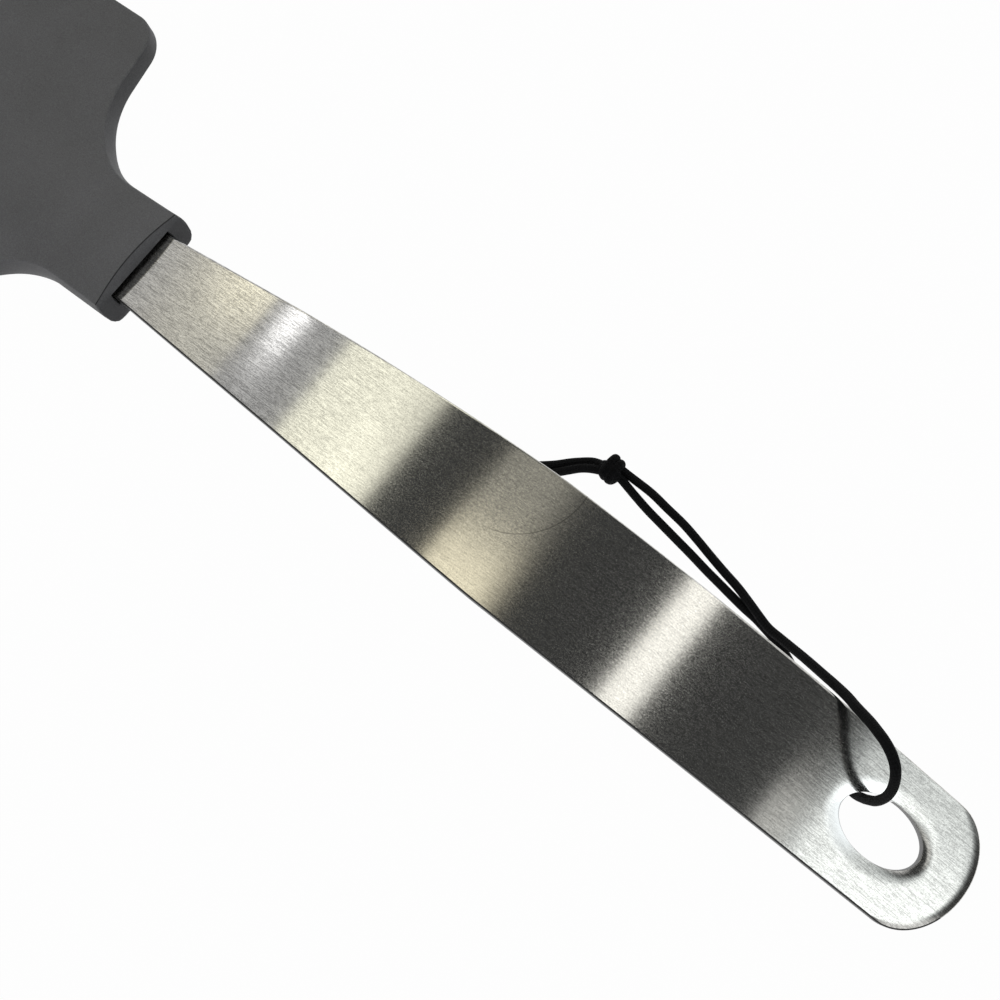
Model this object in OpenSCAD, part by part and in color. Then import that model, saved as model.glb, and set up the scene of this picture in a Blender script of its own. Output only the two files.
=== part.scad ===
// Cookie spatula: a nylon head on a brushed steel strap handle, with a hang cord.
// +X runs towards the handle's end, +Y to the side on which the cord lies, +Z up.
// The origin is on the table, under the middle of the tool's length and width.

/* [Handle] */
// Thickness of the steel strap
strap_t = 2.5; // [1.8:0.1:3]
// Width of the strap where it leaves the socket
neck_w = 16.6; // [13:0.2:17.4]
// Greatest width of the grip
grip_w = 26.8; // [22:0.2:34]
// Distance from the socket's end face to the greatest width
swell_len = 105.5; // [80:0.5:130]
// Width that the strap narrows to at its end
end_w = 24.2; // [20:0.2:30]
// Length of the rounded end
end_round = 9.7; // [5:0.1:12]
// Angle at which the strap climbs out of the socket
climb = 14.4; // [13:0.1:16]
// Straight length between the socket and the arch
climb_len = 33.7; // [24:0.1:44]
// Radius of the arch, on the upper face
arch_r = 232; // [210:1:250]
// Angle that the arch turns through
arch_turn = 35.6; // [34:0.1:38]
// Straight length behind the arch
tail_len = 26.2; // [26:0.1:34]

/* [Hang hole] */
// Length of the oval hang hole
hole_len = 16.4; // [12:0.1:18]
// Width of the oval hang hole
hole_w = 10.4; // [8:0.1:14]
// Steel left between the hole and the handle's end
hole_to_end = 9.6; // [6:0.1:10]

/* [Tang] */
// Length of the strap that is hidden in the socket
tang_len = 26; // [20:0.5:28]
// Length of the window that the catch fills
window_len = 8; // [5:0.5:12]
// Width of the window that the catch fills
window_w = 7; // [4:0.5:10]
// Distance from the socket's end face to the middle of the window
window_depth = 14; // [12:0.5:16]

/* [Head] */
// Length of the head, from the socket's end face to the front edge
head_len = 119.8; // [100:0.2:150]
// Width of the blade
blade_w = 88; // [76:0.5:100]
// Thickness of the blade at its front edge
edge_t = 1; // [0.6:0.1:1.6]
// Thickness of the blade in its middle
blade_t = 2.6; // [1.8:0.1:3.4]
// Distance from the socket's end face to the blade's middle thickness
middle_len = 60; // [55:0.5:70]
// Thickness of the blade where it meets the neck
root_t = 4.8; // [3.8:0.1:6]
// Distance from the socket's end face to the blade's root
root_len = 39; // [36:0.5:42]
// Radius of the blade's front corners
front_r = 14; // [4:0.5:24]
// Radius of the blade's rear corners
rear_r = 8; // [3:0.5:12]

/* [Socket] */
// Width of the neck that holds the socket
socket_w = 24.8; // [23:0.2:30]
// Height of the neck's upper corners above the strap's upper face
shoulder_h = 2.3; // [1.6:0.1:3.5]
// Height of the crowned neck above the strap's upper face
crown_h = 4.4; // [3.8:0.1:6]
// Radius of the crown, across the neck
crown_r = 35; // [32:0.5:60]
// Depth of the neck below the strap's upper face
neck_depth = 5.6; // [5:0.1:6.6]
// Length of the neck with straight sides
neck_len = 17.5; // [14:0.5:20]
// Radius of the flare from the neck to the shoulders
flare_r = 21.4; // [18:0.1:24]
// Angle that the flare turns through
flare_turn = 80; // [70:1:85]
// Gap beside and behind the tang
slot_gap = 0.3; // [0.1:0.05:0.5]
// Gap over the strap at the slot's lip
lip_gap = 0.6; // [0.3:0.05:1]
// Gap under the tang
bed_gap = 0.1; // [0.05:0.05:0.2]

/* [Cord] */
// Diameter of the hang cord
cord_d = 1.8; // [1.4:0.1:2]
// Diameter of the turns that the knot is drawn into
knot_d = 4.5; // [4:0.1:5.4]

/* [Hidden] */
$fn = 96;
cord_sides = 8;

// Places along the strap's upper face, in a frame whose zero is at the socket's end face
droop = arch_turn - climb;
arch_start = climb_len * [cos(climb), sin(climb)];
arch_centre = arch_start + arch_r * [sin(climb), -cos(climb)];
arch_end = arch_centre + arch_r * [sin(droop), cos(droop)];
tip = arch_end + tail_len * [cos(droop), -sin(droop)];
face_z = strap_t * cos(droop) - tip[1];
centre_x = (tip[0] - head_len) / 2;

// Shape of the grip's sides, and steps that the curved outlines are drawn in
swell_share = 1.2;
side_steps = 40;
round_steps = 32;
end_start_x = tip[0] - end_round * cos(droop);

// Overrun of a cut past the face that it opens
over = 4 * strap_t;

// Catch in the socket, in the tang's window
catch_len = window_len - 2 * slot_gap;
catch_w = window_w - 2 * slot_gap;
slot_floor = strap_t + bed_gap;
catch_top = strap_t / 4;

// Outline of the blade
socket_half = socket_w / 2;
blade_half = blade_w / 2;
flare_end = [-neck_len - flare_r * sin(flare_turn),
  socket_half + flare_r * (1 - cos(flare_turn))];
shoulder_run = (blade_half - rear_r * (1 - cos(flare_turn)) - flare_end[1]) / sin(flare_turn);
rear_centre = [flare_end[0] - shoulder_run * cos(flare_turn) - rear_r * sin(flare_turn),
  blade_half - rear_r];
front_centre = [-head_len + front_r, blade_half - front_r];

// Neck, seen from the side
slope = tan(climb);
neck_top_z = face_z + shoulder_h / cos(climb);
neck_bottom_z = face_z - neck_depth / cos(climb);
neck_reach = neck_top_z / slope;
neck_foot = neck_bottom_z / slope;

// Route of the hang cord's loop: from the knot, beside and over the strap, down through
// the hang hole, and back to the knot under the strap
loop_route = [
  [62.6, 26.3, 2.4], [65.4, 26.5, 1.3], [70.4, 25.8, 0.9], [74.7, 25.1, 0.9], [79.1, 24.5, 0.9],
  [83.2, 23.5, 0.9], [87.2, 22.4, 0.9], [91, 21.4, 1], [94.9, 20.5, 1.5], [98.7, 19.3, 2.3],
  [101.4, 18.4, 2.8], [104.4, 17.5, 3.3], [107.7, 17.1, 4.4], [111.2, 16.6, 6.4],
  [114.7, 16, 8.9], [118.9, 15.2, 11.8], [122.8, 14.4, 14.8], [125.9, 13.6, 17.5],
  [128.5, 12.7, 19.9], [132.2, 11.6, 23], [134.6, 10.7, 25.1], [136.6, 9.9, 26.5],
  [138.6, 8.9, 27.2], [140.3, 7.7, 26.9], [141.3, 6.4, 25.1], [141.6, 5, 21.8], [141, 3.8, 17.8],
  [139.5, 2.9, 13.5], [137.4, 2.6, 9.6], [134.9, 2.7, 6], [131.6, 3.6, 3.2], [127.6, 5.6, 1.6],
  [123.3, 8.2, 0.9], [118.6, 11.1, 0.9], [113.8, 13.8, 0.9], [109, 16, 0.9], [105.9, 16.9, 0.9],
  [103.6, 17.4, 0.9], [101, 17.9, 0.9], [98, 18.2, 0.9], [94.5, 18.7, 0.9], [91.3, 19.2, 0.9],
  [88, 19.7, 0.9], [84.1, 20.2, 0.9], [79.7, 20.9, 0.9], [75, 21.6, 0.9], [71.7, 22.1, 0.9],
  [68.2, 22.8, 1], [63.4, 23.9, 2]
];
// Place in the route at which the cord passes through the strap's upper face
hole_pass = 28;
// Routes of the cord's two tails, from the knot to their ends under the strap
long_tail_route = [
  [60.2, 24.2, 2.2], [57.6, 23.6, 1.2], [55.5, 22.2, 0.9], [54, 20.9, 0.9], [51.5, 18.5, 0.9],
  [47.6, 15.6, 0.9], [43.2, 13.4, 0.9]
];
short_tail_route = [
  [60.8, 23, 2.6], [58.6, 22, 2.6], [56.9, 20.9, 2.4], [55.4, 19.6, 2], [53.8, 18.2, 1.5],
  [50.9, 15.6, 0.9], [47.8, 13.2, 0.9]
];
// Place of the knot, the way that it points, and the step from one of its turns to the next
knot_centre = [61.6, 24.4, 2.3];
knot_turn = 8;
knot_pitch = 0.9 * cord_d;

// Half of the strap's width at a distance x from the socket's end face
function half_width(x) =
  x <= 0 ? neck_w / 2 :
  x < swell_len ?
    neck_w / 2 + (grip_w - neck_w) / 2 * (1 - pow(1 - x / swell_len, swell_share)) :
    grip_w / 2 - (grip_w - end_w) / 2 * pow((x - swell_len) / (tip[0] - swell_len), 2);

// Points of an arc of radius r about c, from the angle a to the angle b
function arc(c, r, a, b, steps) =
  [for (i = [0:steps]) let (t = a + (b - a) * i / steps) c + r * [cos(t), sin(t)]];

// Points of an ellipse quarter by quarter, from the angle a to the angle b
function oval(c, rx, ry, a, b, steps) =
  [for (i = [0:steps]) let (t = a + (b - a) * i / steps) c + [rx * cos(t), ry * sin(t)]];

// The same points on the other side of the middle line, in the opposite order
function mirrored(points) =
  [for (i = [len(points) - 1:-1:0]) [points[i][0], -points[i][1]]];

function unit(v) = v / norm(v);

// Direction of a route at its point i
function heading(route, i) =
  unit(route[min(i + 1, len(route) - 1)] - route[max(i - 1, 0)]);

// Ring of points round a route at its point i
function ring(route, i) =
  let (along = heading(route, i), up = unit(cross(along, [0, 1, 0])), side = cross(along, up))
  [for (k = [0:cord_sides - 1]) let (t = 360 * k / cord_sides)
    route[i] + cord_d / 2 * (cos(t) * up + sin(t) * side)];

// Brings what is drawn from the socket's end face, x, and the table, z, to the origin
module from_socket() {
  translate([-centre_x, 0, 0]) children();
}

// Frame on the strap's upper face at the socket, with its x axis up the climb
module on_climb() {
  from_socket() translate([0, 0, face_z]) rotate([0, -climb, 0]) children();
}

// Frame on the strap's upper face at the handle's end, with its x axis down the tail
module on_tail() {
  from_socket() translate([tip[0], 0, face_z + tip[1]]) rotate([0, droop, 0]) children();
}

// Extrudes an outline drawn in x and z across the tool
module across(width) {
  rotate([90, 0, 0]) linear_extrude(height = width, center = true) children();
}

// Block from x0 to x1 and z0 to z1, w wide
module block(x0, x1, w, z0, z1) {
  translate([x0, -w / 2, z0]) cube([x1 - x0, w, z1 - z0]);
}

// The strap's side view: the tang and climb, the arch, and the tail
module strap_side() {
  run = tang_len * [cos(climb), sin(climb)];
  drop = strap_t * [sin(climb), -cos(climb)];
  tail_drop = strap_t * [-sin(droop), -cos(droop)];
  upper = arc(arch_centre, arch_r, 90 + climb, 90 - droop, side_steps);
  lower = arc(arch_centre, arch_r - strap_t, 90 - droop, 90 + climb, side_steps);
  polygon(concat([-run], upper, [tip, tip + tail_drop], lower, [drop - run]));
}

// The strap's outline from above, before its end is rounded
module strap_plan() {
  start_x = -tang_len;
  side = [for (i = [0:side_steps]) let (x = tip[0] * i / side_steps) [x, half_width(x)]];
  half = concat([[start_x, half_width(start_x)]], side,
    [[tip[0] + over, half_width(tip[0])]]);
  polygon(concat(half, mirrored(half)));
}

// What is cut away round the handle's end
module end_waste() {
  half = half_width(end_start_x);
  curve = oval([-end_round, 0], end_round, half, 90, -90, 2 * round_steps);
  wide = half + over;
  linear_extrude(height = 2 * over, center = true)
    polygon(concat(curve, [[-end_round, -wide], [over, -wide], [over, wide], [-end_round, wide]]));
}

module hang_hole() {
  centre = [-hole_to_end - hole_len / 2, 0];
  linear_extrude(height = 2 * over, center = true)
    polygon(oval(centre, hole_len / 2, hole_w / 2, 0, 360 * (1 - 1 / (2 * round_steps)),
      2 * round_steps - 1));
}

module handle() color([0.62, 0.61, 0.58]) difference() {
  from_socket() intersection() {
    translate([0, 0, face_z]) across(2 * grip_w) strap_side();
    linear_extrude(height = 2 * arch_r, center = true) strap_plan();
  }
  on_tail() {
    end_waste();
    hang_hole();
  }
  on_climb() block(-window_depth - window_len / 2, -window_depth + window_len / 2, window_w,
    -strap_t - over, over);
}

// The head's outline from above, run on past the end face that mouth_waste cuts
module head_plan() {
  half = concat(
    [[neck_depth, socket_half]],
    arc([-neck_len, socket_half + flare_r], flare_r, -90, -90 - flare_turn, round_steps),
    arc(rear_centre, rear_r, 90 - flare_turn, 90, round_steps / 2),
    arc(front_centre, front_r, 90, 180, round_steps / 2));
  polygon(concat(half, mirrored(half)));
}

// The neck's side view under its crown: a wedge that runs down into the blade
module neck_side() {
  rise = slope * neck_depth;
  polygon([[neck_depth, neck_top_z + rise], [-neck_reach, 0], [-neck_foot, 0],
    [neck_depth, neck_bottom_z + rise]]);
}

module blade_side() {
  polygon([[-head_len, 0], [-head_len, edge_t], [-middle_len, blade_t], [-root_len, root_t],
    [-neck_foot, root_t], [-neck_foot, 0]]);
}

// The neck's crowned top, part of a large cylinder that lies along the climb
module crown() {
  on_climb() intersection() {
    translate([-neck_reach, 0, crown_h - crown_r]) rotate([0, 90, 0])
      cylinder(r = crown_r, h = neck_reach, $fn = 180);
    block(-neck_reach, 0, socket_w, 0, crown_h);
  }
}

module tang_slot() {
  on_climb() block(-tang_len - slot_gap, over, neck_w + 2 * slot_gap, -slot_floor, lip_gap);
}

// What is cut away in front of the socket, to leave an end face square to the climb
module mouth_waste() {
  on_climb() block(0, 2 * over, 2 * socket_w, -2 * over, 2 * over);
}

module catch_tooth() {
  on_climb() block(-window_depth - catch_len / 2, -window_depth + catch_len / 2, catch_w,
    -(slot_floor + neck_depth) / 2, -catch_top);
}

module head() color([0.3, 0.3, 0.31]) union() {
  difference() {
    intersection() {
      from_socket() linear_extrude(height = 2 * (face_z + crown_h)) head_plan();
      union() {
        from_socket() across(blade_w) neck_side();
        from_socket() across(blade_w) blade_side();
        crown();
      }
    }
    tang_slot();
    mouth_waste();
  }
  catch_tooth();
}

// A stretch of cord along a route, from its point first to its point last
module cord(route, first, last) {
  count = last - first + 1;
  rings = [for (i = [first:last]) ring(route, i)];
  skin = [for (i = [0:count - 2]) for (k = [0:cord_sides - 1])
    let (a = i * cord_sides + k, b = i * cord_sides + (k + 1) % cord_sides)
    each [[a, b, b + cord_sides], [a, b + cord_sides, a + cord_sides]]];
  caps = [[for (k = [cord_sides - 1:-1:0]) k],
    [for (k = [0:cord_sides - 1]) (count - 1) * cord_sides + k]];
  color([0.05, 0.05, 0.06]) polyhedron([for (r = rings) each r], concat(skin, caps));
}

module cord_over() cord(loop_route, 0, hole_pass);
module cord_under() cord(loop_route, hole_pass, len(loop_route) - 1);
module cord_tail_long() cord(long_tail_route, 0, len(long_tail_route) - 1);
module cord_tail_short() cord(short_tail_route, 0, len(short_tail_route) - 1);

// The overhand knot, as two drawn-up turns side by side round their core
module cord_knot() color([0.05, 0.05, 0.06])
  translate(knot_centre) rotate([0, 90, knot_turn]) rotate_extrude($fn = 48) {
    turn_r = (knot_d - cord_d) / 2;
    translate([0, -knot_pitch / 2]) square([turn_r, knot_pitch]);
    for (end = [-1, 1]) translate([turn_r, end * knot_pitch / 2]) circle(d = cord_d, $fn = 24);
  }

head();
handle();
cord_over();
cord_under();
cord_knot();
cord_tail_long();
cord_tail_short();
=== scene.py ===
# Cookie spatula: nylon head, brushed steel strap handle and black hang cord, dressed for a
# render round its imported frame. Values are in mm and degrees, unless a note says otherwise.
import math

import bpy
import numpy as np
from mathutils import Euler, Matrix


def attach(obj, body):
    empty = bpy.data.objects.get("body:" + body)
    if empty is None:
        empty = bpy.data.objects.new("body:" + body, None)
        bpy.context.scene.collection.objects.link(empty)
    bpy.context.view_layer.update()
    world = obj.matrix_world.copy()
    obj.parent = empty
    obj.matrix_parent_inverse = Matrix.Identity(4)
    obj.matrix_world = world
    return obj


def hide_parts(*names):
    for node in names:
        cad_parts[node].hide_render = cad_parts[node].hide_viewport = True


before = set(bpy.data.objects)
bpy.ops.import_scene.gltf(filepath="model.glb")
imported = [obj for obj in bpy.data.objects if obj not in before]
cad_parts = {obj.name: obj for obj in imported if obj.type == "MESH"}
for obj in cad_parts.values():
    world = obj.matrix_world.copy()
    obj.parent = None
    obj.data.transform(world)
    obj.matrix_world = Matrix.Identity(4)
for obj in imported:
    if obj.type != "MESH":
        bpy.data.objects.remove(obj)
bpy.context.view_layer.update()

mm = 0.001  # metres


# Camera

cameraView = {
    "place": (187.57, -41.75, 350.83),  # from the part's origin
    "turn": (19.677, 11.986, 40.542),  # about X, Y and Z
    "focal": 72.04, "sensor": 36,
    "clip": (0.01, 20),  # metres
}


def addCamera():
    data = bpy.data.cameras.new("viewCamera")
    data.sensor_width = cameraView["sensor"]
    data.sensor_fit = "HORIZONTAL"
    data.lens = cameraView["focal"]
    data.clip_start, data.clip_end = cameraView["clip"]
    camera = bpy.data.objects.new("viewCamera", data)
    camera.location = [v * mm for v in cameraView["place"]]
    camera.rotation_euler = [math.radians(v) for v in cameraView["turn"]]
    bpy.context.collection.objects.link(camera)
    bpy.context.scene.camera = camera


# Mesh helpers

# Puts rows of points and of corner numbers into a smooth mesh object at the origin.
def newMesh(name, points, faces, uv=None):
    mesh = bpy.data.meshes.new(name)
    mesh.from_pydata(points.reshape(-1, 3).tolist(), [], faces)
    mesh.update()
    if uv is not None:
        layer = mesh.uv_layers.new(name="surface")
        corners = np.empty(len(mesh.loops), dtype=np.int32)
        mesh.loops.foreach_get("vertex_index", corners)
        layer.data.foreach_set("uv", uv.reshape(-1, 2)[corners].ravel())
    mesh.polygons.foreach_set("use_smooth", np.ones(len(mesh.polygons), dtype=bool))
    piece = bpy.data.objects.new(name, mesh)
    bpy.context.collection.objects.link(piece)
    return piece


# 0 below low, 1 above high, and 3 t^2 - 2 t^3 between them.
def smoothStep(low, high, value):
    t = np.clip((value - low) / (high - low), 0, 1)
    return t * t * (3 - 2 * t)


# The larger of two heights, with a parabola as a blend where they are less than reach apart.
def smoothMax(a, b, reach):
    h = np.clip(1 - np.abs(a - b) / reach, 0, 1)
    return np.maximum(a, b) + reach * h * h * 0.25


def unitRows(rows):
    return rows / np.linalg.norm(rows, axis=1)[:, None]


# Length along a path at each of its points.
def runAlong(path):
    return np.concatenate([[0], np.cumsum(np.linalg.norm(np.diff(path, axis=0), axis=1))])


# Corner numbers of the quads between neighbouring rows and columns of a grid.
def gridFaces(rows, columns, closeRows=False, closeColumns=False, flip=False):
    number = np.arange(rows * columns).reshape(rows, columns)
    if closeRows:
        number = np.vstack([number, number[:1]])
    if closeColumns:
        number = np.hstack([number, number[:, :1]])
    quads = np.stack([number[:-1, :-1], number[1:, :-1], number[1:, 1:], number[:-1, 1:]], -1)
    quads = quads.reshape(-1, 4)
    return quads[:, ::-1] if flip else quads


mergeReach = 2e-6  # metres, within which corners of neighbouring patches are one


# Joins (points, faces, marks) patches, and merges shared corners. Marks go in a face attribute.
def joinPatches(name, patches, attribute):
    count = 0
    points, faces, marks = [], [], []
    for patchPoints, patchFaces, patchMarks in patches:
        points.append(patchPoints.reshape(-1, 3))
        faces.append(patchFaces + count)
        marks.append(np.broadcast_to(np.asarray(patchMarks, dtype=float), len(patchFaces)))
        count += len(points[-1])
    points = np.vstack(points)
    marks = np.concatenate(marks)
    key = np.round(points / mergeReach).astype(np.int64)
    _, first, place = np.unique(key, axis=0, return_index=True, return_inverse=True)
    corners = place.ravel()[np.vstack(faces)]
    keep = corners != np.roll(corners, 1, axis=1)
    full, some = keep.all(axis=1), keep.sum(axis=1) == 3
    triangles = corners[some][keep[some]].reshape(-1, 3)
    piece = newMesh(name, points[first], corners[full].tolist() + triangles.tolist())
    layer = piece.data.attributes.new(attribute, "FLOAT", "FACE")
    layer.data.foreach_set("value", np.concatenate([marks[full], marks[some]]))
    return piece


# Catmull-Rom curve through the points, sampled about every step of its length.
def smoothPath(points, step):
    padded = np.vstack([2 * points[0] - points[1], points, 2 * points[-1] - points[-2]])
    t = np.linspace(0, 1, 24, endpoint=False)[:, None]
    dense = []
    for a, b, c, d in zip(padded[:-3], padded[1:-2], padded[2:-1], padded[3:]):
        dense.append(0.5 * (2 * b + (c - a) * t + (2 * a - 5 * b + 4 * c - d) * t ** 2
                            + (3 * b - a - 3 * c + d) * t ** 3))
    dense = np.vstack(dense + [points[-1:]])
    run = runAlong(dense)
    places = np.linspace(0, run[-1], max(4, int(run[-1] / step) + 1))
    return np.stack([np.interp(places, run, dense[:, k]) for k in range(3)], -1)


# Hang cord

cordSet = {
    "diameter": 1.8,
    "slackRadius": 0.83,  # where it lies on the table, drawn thin by the knot
    "fullRadius": 0.95, "fullHeight": 27,  # at the top of the loop
    "step": 0.6, "sides": 20,  # between the rings of the tube, and round it
    "capRings": 4, "capLength": 0.5,  # of the radius
}
loopRoute = [
    (63, 25.4, 2.2), (65.5, 25.5, 1.2), (70.4, 25.4, 0.9), (74.7, 24.8, 0.9), (79.1, 24.2, 0.9),
    (83.2, 23.3, 0.9), (87.2, 22.3, 0.9), (91, 21.4, 1), (94.9, 20.5, 1.5), (98.7, 19.3, 2.3),
    (101.4, 18.4, 2.8), (104.4, 17.5, 3.3), (107.7, 17.1, 4.4), (111.2, 16.6, 6.4),
    (114.7, 16, 8.9), (118.9, 15.2, 11.8), (122.8, 14.4, 14.8), (125.9, 13.6, 17.5),
    (128.5, 12.7, 19.9), (132.2, 11.6, 23), (134.6, 10.7, 25.1), (136.6, 9.9, 26.5),
    (138.6, 8.9, 27.2), (140.3, 7.7, 26.9), (141.3, 6.4, 25.1), (141.6, 5, 21.8), (141, 3.8, 17.8),
    (139.5, 2.9, 13.5), (137.4, 2.6, 9.6), (134.9, 2.7, 6), (131.6, 3.6, 3.2), (127.6, 5.6, 1.6),
    (123.3, 8.2, 0.9), (118.6, 11.1, 0.9), (113.8, 13.8, 0.9), (109, 16, 0.9), (105.9, 16.9, 0.9),
    (103.6, 17.4, 0.9), (101, 17.9, 0.9), (98, 18.2, 0.9), (94.5, 18.7, 0.9), (91.3, 19.2, 0.9),
    (88, 19.7, 0.9), (84.1, 20.4, 0.9), (79.7, 21.1, 0.9), (75, 21.85, 0.9), (71.7, 22.4, 0.9),
    (68.2, 23.15, 1), (63.4, 24.1, 2)]
holePass = 28  # place in the route at the strap's upper face
longTailRoute = [
    (60.2, 24.2, 2.2), (57.6, 23.6, 1.2), (55.5, 22.2, 0.9), (54, 20.9, 0.9), (51.5, 18.5, 0.9),
    (47.6, 15.6, 0.9), (43.2, 13.4, 0.9)]
shortTailRoute = [
    (60.8, 23, 2.6), (58.6, 22, 2.6), (56.9, 20.9, 2.4), (55.4, 19.6, 2), (53.8, 18.2, 1.5),
    (50.9, 15.6, 0.9), (47.8, 13.2, 0.9)]
knotPassOver = [(61.5, 25.2, 2.5)]  # where each strand runs through the knot
knotPassUnder = [(62.1, 23.4, 2.3)]
knotSet = {
    "centre": (61.85, 24.4, 2.3),
    "halfLong": 1.85, "halfHigh": 1.35,  # from its middle to the middle of its turns
    "cordRadius": 1.0, "pitch": 1.42, "turns": 2.15, "firstAngle": 3.6,  # radians
    "lean": (0, 6, -10),  # of the turns against the cord's run, about X, then Y, then Z
    "dive": 0.7, "diveIn": 0.1, "diveOut": 0.15,  # of its ends into its core, over these shares
    "square": 0.07, "rings": 200,  # bulge of the turns at their corners
}
# The last strand laid across the turns, from the knot's centre.
knotBridge = [(-1.5, -0.3, 0.3), (-0.9, -0.2, 0.9), (0.2, -0.1, 1.3), (1.2, -0.3, 1.0),
              (1.9, -0.7, 0.0)]
bridgeStep = 0.2


# A circle carried along a path, square to its heading. Each end is half an ellipse of rings that
# closes in a pole. UV: share of the turn, and mm of length.
def tube(name, path, radius, side=(0, 1, 0)):
    sides, capRings, capLength = (cordSet[key] for key in ("sides", "capRings", "capLength"))
    radius = np.broadcast_to(radius, len(path))
    heading = unitRows(np.gradient(path, axis=0))
    up = unitRows(np.cross(heading, side))
    across = np.cross(heading, up)

    cap = np.linspace(0, math.pi / 2, capRings + 2)[1:-1]
    firstReach, lastReach = radius[0] * capLength, radius[-1] * capLength
    first = path[0] - heading[0] * firstReach * np.cos(cap)[:, None]
    last = path[-1] + heading[-1] * lastReach * np.cos(cap[::-1])[:, None]
    centres = np.vstack([first, path, last])
    pick = np.concatenate([[0] * capRings, np.arange(len(path)), [len(path) - 1] * capRings])
    radii = np.concatenate([radius[0] * np.sin(cap), radius, radius[-1] * np.sin(cap[::-1])])
    turn = np.linspace(0, 2 * math.pi, sides, endpoint=False)
    ring = (up[pick][:, None] * np.cos(turn)[None, :, None]
            + across[pick][:, None] * np.sin(turn)[None, :, None])
    points = (centres[:, None] + radii[:, None, None] * ring).reshape(-1, 3)
    poles = np.stack([path[0] - heading[0] * firstReach, path[-1] + heading[-1] * lastReach])

    run = runAlong(centres) / mm
    uv = np.stack(np.broadcast_arrays(turn[None, :] / (2 * math.pi), run[:, None]), -1)
    uv = np.vstack([uv.reshape(-1, 2), [(0, 0), (0, run[-1])]])
    faces = gridFaces(len(centres), sides, closeColumns=True, flip=True).tolist()
    begin = np.arange(sides)
    end = begin + len(points) - sides
    pole = np.full(sides, len(points))
    faces += np.stack([pole, np.roll(begin, -1), begin], -1).tolist()
    faces += np.stack([pole + 1, end, np.roll(end, -1)], -1).tolist()
    return newMesh(name, np.vstack([points, poles]), faces, uv)


# One end of the cord. It swells a little from the table to the top of its free loop.
def addCordStretch(name, route, nodes):
    path = smoothPath(np.array(route) * mm, cordSet["step"] * mm)
    rise = np.clip(path[:, 2] / (cordSet["fullHeight"] * mm), 0, 1)
    radius = cordSet["slackRadius"] + (cordSet["fullRadius"] - cordSet["slackRadius"]) * rise
    piece = tube(name, path, radius * mm)
    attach(piece, "root")
    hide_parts(*nodes)
    return piece


# Flat turns of a helix round the strands, whose two ends dive into its core, and a bridge.
def addKnot():
    t = np.linspace(0, 1, knotSet["rings"])
    angle = 2 * math.pi * knotSet["turns"] * t + knotSet["firstAngle"]
    into = np.clip((knotSet["diveIn"] - t) / knotSet["diveIn"], 0, 1)
    out = np.clip((t - 1 + knotSet["diveOut"]) / knotSet["diveOut"], 0, 1)
    reach = 1 - knotSet["dive"] * (into ** 2 + out ** 2)
    square = 1 + knotSet["square"] * np.cos(4 * angle + math.pi)
    helix = np.stack([(t - 0.5) * knotSet["pitch"] * knotSet["turns"],
                      reach * knotSet["halfLong"] * np.cos(angle) * square,
                      reach * knotSet["halfHigh"] * np.sin(angle)], -1)
    centre = np.array(knotSet["centre"])
    radius = knotSet["cordRadius"] * mm
    lean = np.array(Euler([math.radians(v) for v in knotSet["lean"]]).to_matrix())
    path = helix @ lean.T + centre
    turns = tube("knotTurns", path * mm, radius, side=(1, 0.05, 0))
    path = smoothPath((np.array(knotBridge) + centre) * mm, bridgeStep * mm)
    return [turns, tube("knotBridge", path, radius, side=(0, 0, 1))]


# The cord's two ends: each from the hang hole through the knot to its bare tail.
def addCords():
    knot = addKnot()
    for piece in knot:
        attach(piece, "root")
        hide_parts("cord_knot")
    over = loopRoute[holePass::-1] + knotPassOver + longTailRoute
    under = loopRoute[holePass:] + knotPassUnder + shortTailRoute
    return knot + [
        addCordStretch("cordOver", over, ("cord_over", "cord_tail_long")),
        addCordStretch("cordUnder", under, ("cord_under", "cord_tail_short"))]


addCamera()
cordPieces = addCords()
print("camera and cord made")


# Strap handle

headLength = 119.8  # from the blade's front edge to the socket's end
strap = {
    "thick": 2.5, "neckWidth": 16.6, "gripWidth": 26.8, "swellLength": 105.5, "endWidth": 24.2,
    "endRound": 9.7, "climb": 14.4, "climbLength": 33.7, "archRadius": 232.0, "archTurn": 35.6,
    "tailLength": 26.2, "holeLength": 16.4, "holeWidth": 10.4, "holeToEnd": 9.6,
    "tangLength": 26.0, "edge": 0.3,
    "swell": 1.2,  # power of the curve from the neck to the grip's belly
    "band": 0.08, "seam": 0.02, "bandDrop": 0.01,  # flat band inside the rounded edge
    "endWide": 2.8, "endDeep": 0.22,  # soft shoulder round the end
    "endReach": (-2, 5),  # where it comes on, from the start of the end's curve
    "dishWide": 3.2, "dishDeep": 0.17, "holeRim": 0.1,  # soft dish round the hang hole
    "dishLess": 0.25,  # share of its depth lost at its sides, and twice that at the socket
}
# Marks of the faces for the material: 1 on cut walls, and as painted shade on the near side's
# edge; 2 for darker painted shade on the top of that edge's rounding; and down to -1 where a
# painted highlight whitens the dish and the hole's wall.
strapMarks = {
    "nearSide": -0.3, "edgeShadeEnd": 2,  # y of the outward direction; columns short of the wall
    "paintedShine": (-0.1, 0.6), "paintedShineWall": 0.2,  # share of the way to the socket's side
}
strapRows = {"tang": 8, "straight": 180, "fan": 49, "fanBeyond": 22, "curl": 36, "shoulder": 10,
             "dish": 12, "settle": 14}
fanAhead = 5.5  # the faces' rows turn to the hang hole this far before it
faceShares = np.array([0, 0.02, 0.08, 0.2, 0.4, 0.6, 0.8, 0.92, 0.98, 1])


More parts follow.
